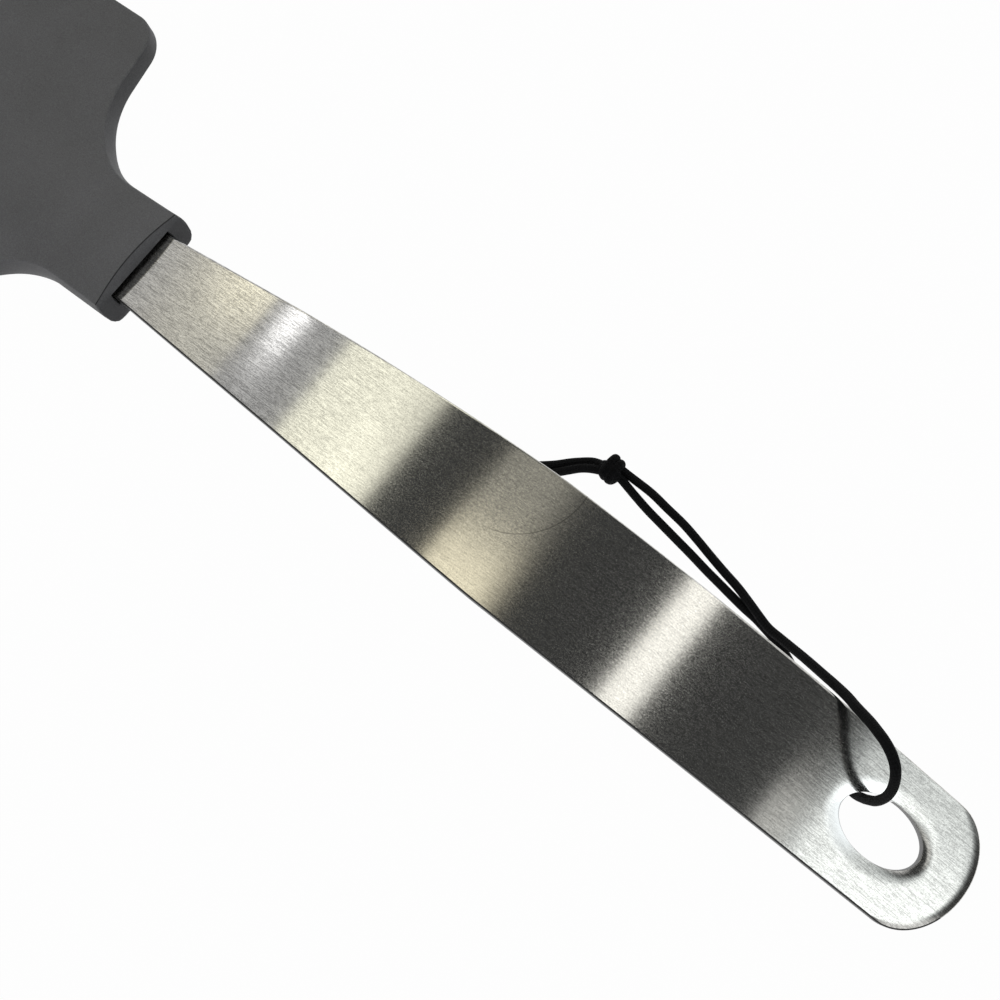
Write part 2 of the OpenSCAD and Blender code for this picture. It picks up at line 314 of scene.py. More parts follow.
# Middle line of the strap's upper face: a straight climb, an arch and a straight tail. Takes the
# distance along the face from the socket, and gives x, z and the slope in radians.
def strapLine(s):
    climb = math.radians(strap["climb"])
    turn = math.radians(strap["archTurn"])
    radius = strap["archRadius"]
    archEnd = strap["climbLength"] + radius * turn
    bend = np.clip((s - strap["climbLength"]) / radius, 0, turn)
    angle = climb - bend
    start = np.minimum(s, strap["climbLength"])
    rest = np.maximum(s - archEnd, 0)
    x = start * math.cos(climb) + radius * (math.sin(climb) - np.sin(angle)) \
        + rest * math.cos(climb - turn)
    z = start * math.sin(climb) + radius * (np.cos(angle) - math.cos(climb)) \
        + rest * math.sin(climb - turn)
    return x, z, angle


strapLength = strap["climbLength"] + strap["archRadius"] * math.radians(strap["archTurn"]) \
    + strap["tailLength"]
tipX, tipZ, tipAngle = (float(v) for v in strapLine(strapLength))
faceZ = strap["thick"] * math.cos(tipAngle) - tipZ  # of the upper face at the socket
middleX = (tipX - headLength) / 2
roundStart = strapLength - strap["endRound"]
holeMiddle = strapLength - strap["holeToEnd"] - strap["holeLength"] / 2
fanStart = holeMiddle - strap["holeLength"] / 2 - fanAhead
fanFirst = strapRows["tang"] + strapRows["straight"] - 2  # row of the outline there
holeRows = strapRows["fan"] + strapRows["fanBeyond"]  # on each half of the hole


# Bends a flat place on the strap, s along, y across and depth below, into the part.
def onStrap(s, y, depth):
    x, z, angle = strapLine(s)
    return np.stack(np.broadcast_arrays(x + depth * np.sin(angle) - middleX, y,
                                        z - depth * np.cos(angle) + faceZ), -1) * mm


# Half of the strap's width: a power curve to the grip's belly, then a parabola.
def strapHalf(s):
    x = strapLine(s)[0]
    half, belly, end = strap["neckWidth"] / 2, strap["gripWidth"] / 2, strap["endWidth"] / 2
    length = strap["swellLength"]
    front = half + (belly - half) * (1 - (1 - np.clip(x / length, 0, 1)) ** strap["swell"])
    rear = belly - (belly - end) * ((x - length) / (tipX - length)) ** 2
    return np.where(x < length, front, rear)


# Inset from the outline and depth, over a quarter circle, a wall and a lower quarter circle.
def edgeProfile(upper, lower, thick, steps=5):
    t = np.linspace(0, math.pi / 2, steps + 1)
    top = np.stack([upper * (1 - np.sin(t)), upper * (1 - np.cos(t))], -1)
    low = np.stack([lower * (1 - np.cos(t)), thick - lower + lower * np.sin(t)], -1)
    return np.vstack([top, low])


# The outline in s and y, from one corner of the tang round the end to the other, with its
# outward directions and the tip's row. The end is half an ellipse.
def handleOutline():
    straight = np.concatenate([np.linspace(-strap["tangLength"], 0, strapRows["tang"])[:-1],
                               np.linspace(0, fanStart, strapRows["straight"])])
    fan = np.linspace(fanStart, roundStart, strapRows["fan"])[1:]
    curl = np.linspace(0, math.pi / 2, strapRows["curl"])[1:]
    s = np.concatenate([straight, fan, roundStart + strap["endRound"] * np.sin(curl)])
    y = np.concatenate([strapHalf(straight), strapHalf(fan), strapHalf(roundStart) * np.cos(curl)])
    outline = np.stack([np.concatenate([s, s[-2::-1]]), np.concatenate([y, -y[-2::-1]])], -1)
    tip = len(s) - 1
    tangent = np.gradient(outline, axis=0)
    tangent[tip] = (0, -1)
    tangent = unitRows(tangent)
    return outline, np.stack([-tangent[:, 1], tangent[:, 0]], -1), tip


# The band round the outline: points move in by an inset and down by a depth, over a shoulder
# whose depth grows with the cube of the way out, and then the edge profile.
def handleRim(outline, outward):
    thick = strap["thick"]
    edge = edgeProfile(strap["edge"], strap["edge"], thick)
    soft = np.linspace(1, 0, strapRows["shoulder"] + 1)[:-1]
    low, high = strap["endReach"]
    share = smoothStep(roundStart + low, roundStart + high, outline[:, 0])[:, None]
    wide = strap["endWide"] * share + strap["band"]
    inset = np.hstack([strap["edge"] + strap["seam"] + wide * soft,
                       edge[:, 0] * np.ones_like(share)])
    drop = np.maximum(strap["endDeep"] * share, strap["bandDrop"])
    depth = np.hstack([drop * (1 - soft) ** 3, drop + edge[:, 1] * (1 - drop / thick)])
    place = outline[:, None] - outward[:, None] * inset[..., None]
    faces = gridFaces(*place.shape[:2])
    row, column = np.divmod(np.arange(len(faces)), place.shape[1] - 1)
    wallStart = len(soft) + len(edge) // 2 - 1
    # Painted shade: the near side's edge is marked like a cut wall, and the top of its rounding
    # darker still.
    near = (column >= len(soft)) & (outward[row, 1] < strapMarks["nearSide"])
    edgeShade = near & (column < wallStart - strapMarks["edgeShadeEnd"])
    marks = ((column >= wallStart) | near) + 1 * edgeShade
    return place, depth, (onStrap(place[..., 0], place[..., 1], depth), faces, marks)


# The oval hang hole's dish and wall, as rows round an ellipse. The dish's depth grows with the
# cube of the way in, times 1 - dishLess (1 - cos turn), which its lower rows lose again.
def hangHole():
    thick, dishDeep, rim = strap["thick"], strap["dishDeep"], strap["holeRim"]
    halfLong, halfWide = strap["holeLength"] / 2, strap["holeWidth"] / 2
    turn = np.linspace(math.pi, -math.pi, 2 * holeRows - 1)[:-1]
    oval = np.stack([holeMiddle + halfLong * np.cos(turn), halfWide * np.sin(turn)], -1)
    inward = unitRows(np.stack([-np.cos(turn) / halfLong, -np.sin(turn) / halfWide], -1))
    way = np.linspace(1, 0, strapRows["dish"] + 1)[:-1]
    dish = np.stack([rim + (strap["dishWide"] - rim) * way, dishDeep * (1 - way) ** 3], -1)
    profile = np.vstack([dish, edgeProfile(rim, strap["edge"], thick - dishDeep) + (0, dishDeep)])
    place = oval[:, None] - inward[:, None] * profile[None, :, :1]
    less = strap["dishLess"] * (1 - np.cos(turn))[:, None]
    less = less * np.interp(profile[:, 1], (0, dishDeep, thick), (1, 1, 0))
    depth = profile[:, 1] - np.minimum(profile[:, 1], dishDeep) * less
    faces = gridFaces(*place.shape[:2], closeRows=True, flip=True)
    row, column = np.divmod(np.arange(len(faces)), place.shape[1] - 1)
    # Painted highlight: the dish whitens on the socket's side, and the hole's wall there too; the
    # wall on the far side is marked as a cut wall.
    toSocket = -np.cos(turn[row])
    paintedShine = smoothStep(*strapMarks["paintedShine"], toSocket) * np.minimum(column / len(dish), 1)
    wall = np.where(toSocket < strapMarks["paintedShineWall"], 1, -1)
    marks = np.where(column >= len(dish) + 2, wall, -paintedShine)
    return place, (onStrap(place[..., 0], place[..., 1], depth), faces, marks)


# Half of a face. Its rows run from the outline to the middle line, or to the hang hole's edge.
def halfFace(edgeLine, holeLine, below, flip):
    last = fanFirst + holeRows - 1
    before = slice(fanFirst + 1 - strapRows["settle"], fanFirst + 1)
    settle = np.linspace(0, 1, strapRows["settle"]) ** 2
    middle = np.stack([edgeLine[:, 0], np.zeros(len(edgeLine))], -1)
    middle[before, 0] += (holeLine[0, 0] - edgeLine[fanFirst, 0]) * settle
    middle[fanFirst + 1:last + 1] = holeLine[1:]
    middle[last + 1:, 0] = np.linspace(holeLine[-1, 0], edgeLine[-1, 0],
                                       len(edgeLine) - last)[1:]
    flat = edgeLine[:, None] + (middle - edgeLine)[:, None] * faceShares[None, :, None]
    return onStrap(flat[..., 0], flat[..., 1], below), gridFaces(*flat.shape[:2], flip=flip), 0


def addHandle():
    outline, outward, tip = handleOutline()
    rim, rimDepth, rimPatch = handleRim(outline, outward)
    hole, holePatch = hangHole()
    patches = [rimPatch, holePatch]
    for side in (1, -1):
        for column, below in ((0, 0.0), (-1, strap["thick"])):
            patches.append(halfFace(rim[::side][:tip + 1, column],
                                    hole[np.arange(holeRows) * side, column], below,
                                    (side > 0) != (below > 0)))
    whole = np.concatenate([faceShares, 2 - faceShares[-2::-1]])
    back = onStrap(-strap["tangLength"], rim[0, :, 1][:, None] * (1 - whole), rimDepth[0][:, None])
    patches.append((back, gridFaces(*back.shape[:2]), 1))
    piece = joinPatches("strapHandle", patches, "cutWallsAndPaintedLight")
    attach(piece, "root")
    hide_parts("handle")
    return piece


handlePiece = addHandle()
print("handle made")


# Nylon head. Its x runs back from 0 at the socket's end to minus headLength at the blade's front.

headSet = {
    "bladeWidth": 88.0, "edgeThick": 1.0, "bladeThick": 2.6, "middleLength": 60.0,
    "rootStart": 70.0, "rootEnd": 39.0, "rootRise": 1.64,  # where the blade thickens to its root
    "frontRadius": 14.0, "rearRadius": 8.0,
    "socketWidth": 24.8, "shoulderHeight": 2.3, "crownHeight": 4.4, "crownRadius": 35.0,
    "neckDepth": 5.6, "neckLength": 17.5, "flareRadius": 21.4, "flareTurn": 80.0,
    "crownLow": -0.4,  # least height of the crown beside the shoulders' line
    "crownBlend": 1.2, "topBlend": 2.4, "lowBlend": 1.6,  # reaches of the blends
    "mouthCorner": 0.35,  # radius of the end face's upright edges
    "mouthEdge": 0.15, "mouthEdgeReach": 5.0,  # rounding of its upper edge, which grows to topEdge
    "mouthUnder": 0.5, "mouthUnderHigh": 0.6,  # how far its lower edge recedes, over what height
    "mouthLean": 24.0,  # that the end face leans back above the slot
    "mouthDrop": 0.7,  # how far the neck's top falls short of its rear height at the end
    "mouthFlat": 0.43,  # share of the crown that is lost towards the end face
    "mouthReach": 37.0,  # over which both come on
    "topEdge": 0.45, "neckBase": 3.0, "bladeBase": 0.35,  # roundings of upper and lower edges
    "topEdgeShare": 0.42, "lowEdgeShare": 0.45,  # most that they take of the thickness
    "draft": 0.25,  # how far the neck's walls lean in on their way up
    "bulge": 0.3,  # how far they swell at half height
    "neckStart": (-46, -30), "baseStart": (-32, -18),  # x where draft and bulge, neckBase,
    "leanStart": (-30, -12), "mouthLeanStart": (-10, -1),  # the climb's lean and mouthLean come on
    "sharpAngle": 32,
}
slotSet = {"side": 0.3, "bed": 0.1, "lip": 0.6, "flare": 0.25, "behind": 0.3, "past": 2.0}
headRows = {"corner": 8, "neck": 24, "flare": 60, "shoulder": 12, "rear": 30, "side": 50,
            "front": 34, "edge": 6, "wall": 5}
headShares = np.concatenate([[0, 0.004, 0.02], np.linspace(0.06, 0.94, 45), [0.98, 0.996, 1]])
sameX = 1e-6  # within which a point is on the end face or the front edge


# Upper face: a blade that thickens in a straight line, and to its root by a parabola, and a neck
# with a crown of one radius that climbs with the handle.
def headTop(x, y):
    climb = math.radians(strap["climb"])
    t = (x + headLength) / (headLength - headSet["middleLength"])
    root = np.clip((x + headSet["rootStart"]) / (headSet["rootStart"] - headSet["rootEnd"]), 0, 1)
    blade = headSet["edgeThick"] + (headSet["bladeThick"] - headSet["edgeThick"]) * t \
        + headSet["rootRise"] * root ** 2
    ridge = headSet["crownHeight"] - headSet["shoulderHeight"]
    radius = headSet["crownRadius"]
    bow = ridge - radius + np.sqrt(np.maximum(radius ** 2 - y ** 2, 0))
    bow = smoothMax(bow, np.full_like(bow, headSet["crownLow"]), headSet["crownBlend"])
    near = np.clip(1 + x / headSet["mouthReach"], 0, 1)
    neck = faceZ + headSet["shoulderHeight"] / math.cos(climb) + x * math.tan(climb) \
        + bow * (1 - headSet["mouthFlat"] * near) - headSet["mouthDrop"] * near
    return smoothMax(neck, blade, headSet["topBlend"])


# Underside: flat under the blade, and climbing with the handle under the neck.
def headBottom(x):
    climb = math.radians(strap["climb"])
    neck = faceZ - headSet["neckDepth"] / math.cos(climb) + x * math.tan(climb)
    return smoothMax(neck, np.zeros_like(x), headSet["lowBlend"])


# Points on an arc, from and to an angle.
def arc(middle, radius, first, last, steps):
    a = np.radians(np.linspace(first, last, steps))
    return np.stack([middle[0] + radius * np.cos(a), middle[1] + radius * np.sin(a)], -1)


# Half of the outline from above: end face, straight neck, flare, shoulder, side and front. Arcs
# are joined by straight lines that touch them.
def headOutline():
    half, bladeHalf = headSet["socketWidth"] / 2, headSet["bladeWidth"] / 2
    turn, radius = headSet["flareTurn"], headSet["flareRadius"]
    flare = math.radians(turn)
    rear, front, corner = headSet["rearRadius"], headSet["frontRadius"], headSet["mouthCorner"]
    mouthArc = arc((-corner, half - corner), corner, 0, 90, headRows["corner"])
    flareArc = arc((-headSet["neckLength"], half + radius), radius, -90, -90 - turn,
                   headRows["flare"])
    run = (bladeHalf - rear * (1 - math.cos(flare)) - flareArc[-1, 1]) / math.sin(flare)
    rearMiddle = (flareArc[-1, 0] - run * math.cos(flare) - rear * math.sin(flare),
                  bladeHalf - rear)
    rearArc = arc(rearMiddle, rear, 90 - turn, 90, headRows["rear"])
    frontArc = arc((front - headLength, bladeHalf - front), front, 90, 180, headRows["front"])
    neck = np.linspace(mouthArc[-1], flareArc[0], headRows["neck"])[1:-1]
    shoulder = np.linspace(flareArc[-1], rearArc[0], headRows["shoulder"])[1:-1]
    side = np.linspace(rearArc[-1], frontArc[0], headRows["side"])[1:-1]
    return np.vstack([mouthArc, neck, flareArc, shoulder, rearArc, side, frontArc])


# The closed outline from its half, with its outward directions: square to the mean of the headings
# before and after a point, and straight on at both ends.
def wholeOutline(half):
    cross = np.stack([np.ones_like(headShares), 1 - 2 * headShares], -1)[1:-1]
    outline = np.vstack([half, half[-1] * cross, half[::-1] * (1, -1), half[0] * cross * (1, -1)])
    tangent = unitRows(unitRows(np.roll(outline, -1, axis=0) - outline)
                       + unitRows(outline - np.roll(outline, 1, axis=0)))
    outward = np.stack([tangent[:, 1], -tangent[:, 0]], -1)
    outward[outline[:, 0] > half[0, 0] - sameX] = (1, 0)
    outward[outline[:, 0] < half[-1, 0] + sameX] = (-1, 0)
    return outline, outward


# The band round the outline: rounded upper edge, a wall that leans in and swells as a parabola,
# and rounded lower edge. The end face moves in x, and recedes by the square of the way down.
def headRim(outline, outward):
    x, y = outline[:, 0], outline[:, 1]
    steps = headRows["edge"]
    thick = headTop(x, y) - headBottom(x)
    topEdge = headSet["mouthEdge"] + (headSet["topEdge"] - headSet["mouthEdge"]) \
        * smoothStep(0, headSet["mouthEdgeReach"], -x)
    topEdge = np.minimum(topEdge, headSet["topEdgeShare"] * thick)[:, None]
    lowEdge = headSet["bladeBase"] + (headSet["neckBase"] - headSet["bladeBase"]) \
        * smoothStep(*headSet["baseStart"], x)
    lowEdge = np.minimum(lowEdge, headSet["lowEdgeShare"] * thick)[:, None]
    neckShare = smoothStep(*headSet["neckStart"], x)[:, None]
    draft = headSet["draft"] * neckShare
    t = np.linspace(0, math.pi / 2, steps)
    dropTop = topEdge * (1 - np.cos(t))
    riseLow = lowEdge * (1 - np.sin(t))
    wall = (1 - np.linspace(0, 1, headRows["wall"] + 2)[1:-1]) * np.ones_like(draft)
    insetTop = topEdge * (1 - np.sin(t)) + draft
    insetWall = draft * wall - headSet["bulge"] * neckShare * 4 * wall * (1 - wall)
    insetLow = lowEdge * (1 - np.cos(t))
    inset = np.hstack([insetTop, insetWall, insetLow])
    place = outline[:, None] - outward[:, None] * inset[..., None]

    mouth = x > -headSet["mouthCorner"] - sameX
    sideShare = y[mouth, None] / np.abs(y[mouth]).max()
    onFace = np.hstack([0 * insetTop + draft, insetWall, insetLow])[mouth]
    under = np.clip(1 - riseLow / headSet["mouthUnderHigh"], 0, 1) ** 2
    under = np.hstack([0 * insetTop, 0 * insetWall, under])[mouth]
    place[mouth, :, 0] += outward[mouth, 0][:, None] * (onFace - headSet["mouthUnder"] * under)
    onFace[:, :steps] = 0
    place[mouth, :, 1] += (outward[mouth, 1][:, None] - sideShare) * onFace

    top = headTop(place[..., 0], place[..., 1])
    low = headBottom(place[..., 0])
    z = np.hstack([top[:, :steps] - dropTop, 0 * wall, low[:, -steps:] + riseLow])
    z[:, steps:-steps] = z[:, [-steps]] + wall * (z[:, [steps - 1]] - z[:, [-steps]])
    faces = gridFaces(*z.shape, closeRows=True, flip=True)
    row, column = np.divmod(np.arange(len(faces)), z.shape[1] - 1)
    onRim = mouth[row] & mouth[(row + 1) % len(mouth)] & (column < steps - 1)
    return place, (headPlace(place[..., 0], place[..., 1], z), faces, onRim)


# Leans the socket's end square to the climb, and puts the place into the part.
def headPlace(x, y, z):
    lean = math.tan(math.radians(strap["climb"])) * smoothStep(*headSet["leanStart"], x)
    back = math.tan(math.radians(headSet["mouthLean"])) * smoothStep(*headSet["mouthLeanStart"], x)
    x = x - lean * (z - faceZ) - back * np.maximum(z - faceZ - slotSet["lip"], 0)
    return np.stack([x - middleX, y, z], -1) * mm


# The rim's band, and the upper and lower faces as rows from side to side.
def addHead():
    half = headOutline()
    place, rimPatch = headRim(*wholeOutline(half))
    patches = [rimPatch]
    for column, upper in ((0, True), (-1, False)):
        left = place[:len(half), column]
        flat = left[:, None] + (left * (1, -1) - left)[:, None] * headShares[None, :, None]
        height = headTop(flat[..., 0], flat[..., 1]) if upper else headBottom(flat[..., 0])
        patches.append((headPlace(flat[..., 0], flat[..., 1], height),
                        gridFaces(*flat.shape[:2], flip=not upper), 0))
    piece = joinPatches("nylonHead", patches, "mouthRim")
    cutSocket(piece)
    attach(piece, "root")
    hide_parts("head")
    return piece


# Cuts the slot that the tang sits in: a box along the climb, with a small flare at its mouth.
def cutSocket(piece):
    side = strap["neckWidth"] / 2 + slotSet["side"]
    low, high = -strap["thick"] - slotSet["bed"], slotSet["lip"]
    flare, past = slotSet["flare"], slotSet["past"]
    stations = np.array([(-strap["tangLength"] - slotSet["behind"], 0), (-flare, 0),
                         (past, flare + past)])
    ring = np.array([(-side, low), (side, low), (side, high), (-side, high)])
    grow = np.array([(-1, -1), (1, -1), (1, 1), (-1, 1)])
    yz = ring[None] + grow[None] * stations[:, 1][:, None, None]
    s = np.broadcast_to(stations[:, 0][:, None], yz.shape[:2])
    climb = math.radians(strap["climb"])
    points = np.stack([s * math.cos(climb) - yz[..., 1] * math.sin(climb) - middleX, yz[..., 0],
                       s * math.sin(climb) + yz[..., 1] * math.cos(climb) + faceZ], -1) * mm
    faces = gridFaces(3, 4, closeColumns=True, flip=True).tolist() + [[3, 2, 1, 0], [8, 9, 10, 11]]
    cutter = newMesh("slotCutter", points, faces)
    modifier = piece.modifiers.new("slot", "BOOLEAN")
    modifier.operation = "DIFFERENCE"
    modifier.solver = "EXACT"
    modifier.object = cutter
    graph = bpy.context.evaluated_depsgraph_get()
    cut = bpy.data.meshes.new_from_object(piece.evaluated_get(graph))
    piece.modifiers.clear()
    piece.data = cut
    bpy.data.objects.remove(cutter)
    cut.polygons.foreach_set("use_smooth", np.ones(len(cut.polygons), dtype=bool))
    cut.set_sharp_from_angle(angle=math.radians(headSet["sharpAngle"]))


headPiece = addHead()
print("head made")


# Shader maths

# Wraps an output socket, so that maths on it adds nodes.
class Socket:
    def __init__(self, build, socket):
        self.build = build
        self.socket = socket

    def scaled(self, factor):
        return self.build.node("ShaderNodeVectorMath", {"operation": "SCALE"}, self, Scale=factor)

    def math(self, operation, *others):
        return self.build.node("ShaderNodeMath", {"operation": operation}, self, *others)

    # Maps low..high on first..last, held at both ends.
    def spread(self, low, high, first=0.0, last=1.0, kind="LINEAR"):
        return self.build.node("ShaderNodeMapRange", {"interpolation_type": kind}, self, low,
                               high, first, last)

    # 0 before a soft step that is width wide and stands round a place, and 1 after it.
    def stepAt(self, place, width):
        return self.spread(place - width / 2, place + width / 2, kind="SMOOTHSTEP")

    def __add__(self, other):
        return self.math("ADD", other)

    def __mul__(self, other):
        return self.math("MULTIPLY", other)

    def __sub__(self, other):
        return self.math("SUBTRACT", other)

    def __rsub__(self, other):
        return self.build.node("ShaderNodeMath", {"operation": "SUBTRACT"}, other, self)

    __radd__ = __add__
    __rmul__ = __mul__


# Adds nodes to one tree: a type, its settings, then the values or links of its inputs, by place
# or by name. None leaves an input as it is.
class Build:
    def __init__(self, tree):
        self.tree = tree
        tree.nodes.clear()

    def node(self, kind, settings=None, *inputs, out=0, **named):
        made = self.tree.nodes.new(kind)
        for key, value in (settings or {}).items():
            setattr(made, key, value)
        pairs = list(enumerate(inputs)) + [(k.replace("_", " "), v) for k, v in named.items()]
        for key, value in pairs:
            if isinstance(value, Socket):
                self.tree.links.new(value.socket, made.inputs[key])
            elif value is not None:
                made.inputs[key].default_value = value
        return Socket(self, made.outputs[out])

    def output(self, kind, shader):
        made = self.tree.nodes.new(kind)
        self.tree.links.new(shader.socket, made.inputs["Surface"])


def startMaterial(name):
    material = bpy.data.materials.new(name)
    material.use_nodes = True
    return material, Build(material.node_tree)


# Object coordinates in millimetres, stretched.
def objectPlace(build, stretch=(1, 1, 1)):
    place = build.node("ShaderNodeTexCoord", out="Object")
    return build.node("ShaderNodeMapping", None, place, Scale=tuple(v / mm for v in stretch))


# The x, y and z of a vector.
def splitVector(build, vector):
    split = build.node("ShaderNodeSeparateXYZ", None, vector).socket.node
    return [Socket(build, part) for part in split.outputs]


def noise(build, place, scale, detail, rough):
    return build.node("ShaderNodeTexNoise", None, Vector=place, Scale=scale, Detail=detail,
                      Roughness=rough)


def blendColour(build, share, first, second, blend="MIX"):
    return build.node("ShaderNodeMix", {"data_type": "RGBA", "blend_type": blend}, share, None,
                      None, None, None, None, first, second, out=2)


def faceMark(build, name):
    return build.node("ShaderNodeAttribute", {"attribute_name": name}, out="Fac")


def bumpFrom(build, look, height):
    return build.node("ShaderNodeBump", None, Strength=look["bump"],
                      Distance=look["bumpDepth"] * mm, Height=height)


def dress(pieces, material):
    for piece in pieces:
        piece.data.materials.clear()
        piece.data.materials.append(material)


# Nylon, with noises as scale, detail and roughness

nylonLook = {
    "grain": (3.2, 3.0, 0.6), "fine": (3.4, 3.0, 0.75), "cloud": (0.06, 3.0, 0.55),
    "speck": (6.5, 1.0, 0.5), "speckFrom": (0.66, 0.74), "speckShare": 0.4,
    "speckTone": (0.20, 0.20, 0.20, 1),
    "clouds": ((0.109, 0.110, 0.114, 1), (0.126, 0.127, 0.134, 1)),
    "mottle": (0.72, 1.28),  # times the tone, over the fine noise
    "noiseFrom": (0.3, 0.7),
    "rimTone": (0.02, 0.02, 0.021, 1),  # thin line along the socket's upper edge
    # Painted shade: the tone darkens on upright walls and again on the socket's end face, set by
    # the normal.
    "wallFrom": (0.2, 0.6), "endFrom": (0.8, 0.93),  # z and x of the normal
    "paintedShade": 0.78,  # times the tone on upright walls, and again on the socket's end face
    "rough": (0.52, 0.66), "bump": 0.22, "bumpDepth": 0.06, "bumpFine": 0.7,
}


def makeNylon():
    look = nylonLook
    material, build = startMaterial("nylonMatte")
    place = objectPlace(build)
    grain, fine, cloud, speck = (noise(build, place, *look[key])
                                 for key in ("grain", "fine", "cloud", "speck"))
    tone = blendColour(build, cloud.spread(*look["noiseFrom"]), *look["clouds"])
    speck = speck.spread(*look["speckFrom"]) * look["speckShare"]
    tone = blendColour(build, speck, tone, look["speckTone"])
    dim, lit = (tone.scaled(v) for v in look["mottle"])
    tone = blendColour(build, fine.spread(*look["noiseFrom"]), dim, lit)
    tone = blendColour(build, faceMark(build, "mouthRim"), tone, look["rimTone"])
    # Painted shade on upright walls, and again on the socket's end face.
    x, _, z = splitVector(build, build.node("ShaderNodeNewGeometry", out="Normal"))
    for share in (z.spread(*look["wallFrom"], 1.0, 0.0), x.spread(*look["endFrom"])):
        tone = blendColour(build, share, tone, tone.scaled(look["paintedShade"]))
    rough = grain.spread(*look["noiseFrom"], *look["rough"])
    bump = bumpFrom(build, look, grain + fine * look["bumpFine"])
    shader = build.node("ShaderNodeBsdfPrincipled", None, Base_Color=tone, Roughness=rough,
                        Normal=bump)
    build.output("ShaderNodeOutputMaterial", shader)
    return material


# Brushed steel. Its strokes are noises drawn out along the handle: stretch, scale, detail and
# roughness. Mixes of them give the relief, and the long and the fine grain of its tone.

steelLook = {
    "strokes": {"hair": (0.02, 6.0, 3.0, 0.75), "wide": (0.012, 1.1, 2.0, 0.5),
                "short": (0.11, 5.5, 2.0, 0.75), "fuzz": (0.5, 5.0, 2.0, 0.75),
                "sparkle": (0.8, 4.4, 2.0, 0.75)},
    "relief": {"hair": 0.35, "wide": 0.8, "fuzz": 0.05}, "bump": 0.1, "bumpDepth": 0.02,
    "longGrain": {"hair": 0.34, "short": 0.33, "sparkle": 0.33}, "longFrom": (0.43, 0.57),
    "fineGrain": {"fuzz": 0.35, "sparkle": 0.28, "short": 0.22, "hair": 0.15},
    "fineFrom": (0.38, 0.62),
    "nearSocket": (10.0, 40.0),  # x over which the long grain goes out
    "nearEnd": (112.0, 132.0), "endShare": 0.6,  # and comes back in part
    "tones": ((0.36, 0.355, 0.34, 1), (0.88, 0.87, 0.83, 1)),
    "roughFrom": (0.3, 0.7), "rough": (0.07, 0.13), "paintedShineTone": (1, 1, 1, 1),
    # Cut walls: a darker, rougher sheared edge, darkened further as painted shade; the near side's
    # edge gets the same tone as painted shade.
    "cutWallAndShadeTone": (0.22, 0.22, 0.22, 1), "cutRough": 0.42, "paintedShadeTone": (0.02, 0.02, 0.02, 1),
    "cutWallShade": 0.22, "edgeShadeShare": 0.6,  # shares of a near-black matte as painted shade on cut walls and the near edge, more on its top
}
scratch = {
    "middle": (56.9, 11.5), "radius": 13.6,
    "reach": (58.5, 61.5),  # x over which it comes on
    "halfWidth": (0.04, 0.16),  # of its core, and of its soft edge
    "depth": 0.45, "tone": (0.05, 0.05, 0.05, 1),
}


def mixStrokes(strokes, weights):
    first, *others = [strokes[key] * weight for key, weight in weights.items()]
    return sum(others, first)


# Share of a thin arc of a circle, seen from above.
def scratchShare(x, y):
    across, up = x - scratch["middle"][0], y - scratch["middle"][1]
    off = ((across * across + up * up).math("SQRT") - scratch["radius"]).math("ABSOLUTE")
    onLine = off.spread(*scratch["halfWidth"], 1.0, 0.0)
    return onLine * x.spread(*scratch["reach"]) * scratch["depth"]


def makeSteel():
    look = steelLook
    material, build = startMaterial("brushedSteel")
    strokes = {key: noise(build, objectPlace(build, (stretch, 1, stretch)), *kind)
               for key, (stretch, *kind) in look["strokes"].items()}
    x, y, _ = splitVector(build, objectPlace(build))
    longGrain = mixStrokes(strokes, look["longGrain"]).spread(*look["longFrom"])
    fineGrain = mixStrokes(strokes, look["fineGrain"]).spread(*look["fineFrom"])
    longShare = x.spread(*look["nearEnd"], 0.0, look["endShare"]) \
        + x.spread(*look["nearSocket"], 1.0, 0.0)
    grain = longGrain * longShare + fineGrain * (1 - longShare)
    tone = blendColour(build, grain, *look["tones"])
    tone = blendColour(build, scratchShare(x, y), tone, scratch["tone"])
    # The face mark: cut walls and the near edge's painted shade from 0 to 2, and the painted
    # highlight below 0.
    mark = faceMark(build, "cutWallsAndPaintedLight")
    cut = mark.math("MAXIMUM", 0.0).math("MINIMUM", 1.0)
    edgeShade = (mark - 1).math("MAXIMUM", 0.0)
    # Painted highlight: white tone where the mark is below 0.
    tone = blendColour(build, (0 - mark).math("MAXIMUM", 0.0), tone, look["paintedShineTone"])
    tone = blendColour(build, cut, tone, look["cutWallAndShadeTone"])
    rough = strokes["fuzz"].spread(*look["roughFrom"], *look["rough"])
    rough = rough * (1 - cut) + cut * look["cutRough"]
    bump = bumpFrom(build, look, mixStrokes(strokes, look["relief"]))
    metal = build.node("ShaderNodeBsdfPrincipled", None, Base_Color=tone, Metallic=1.0,
                       Roughness=rough, Normal=bump)
    paintedShadeMatte = build.node("ShaderNodeBsdfDiffuse", None, look["paintedShadeTone"])
    share = cut * look["cutWallShade"] + edgeShade * look["edgeShadeShare"]
    build.output("ShaderNodeOutputMaterial",
                 build.node("ShaderNodeMixShader", None, share, metal, paintedShadeMatte))
    return material


# Braided cord, by its UV

cordLook = {
    "strands": 6,  # crossings of the braid round the cord
    "lay": 5.2,  # radians of the braid in a mm of length
    "fuzz": (7.0, 3.0, 0.7), "relief": (0.5, 0.6),  # heights of the braid and the fuzz
    "bump": 0.8, "bumpDepth": 0.12, "rough": 0.8, "specular": 0.15,
    "tones": ((0.0016, 0.0016, 0.002, 1), (0.0050, 0.0056, 0.0066, 1)),
}


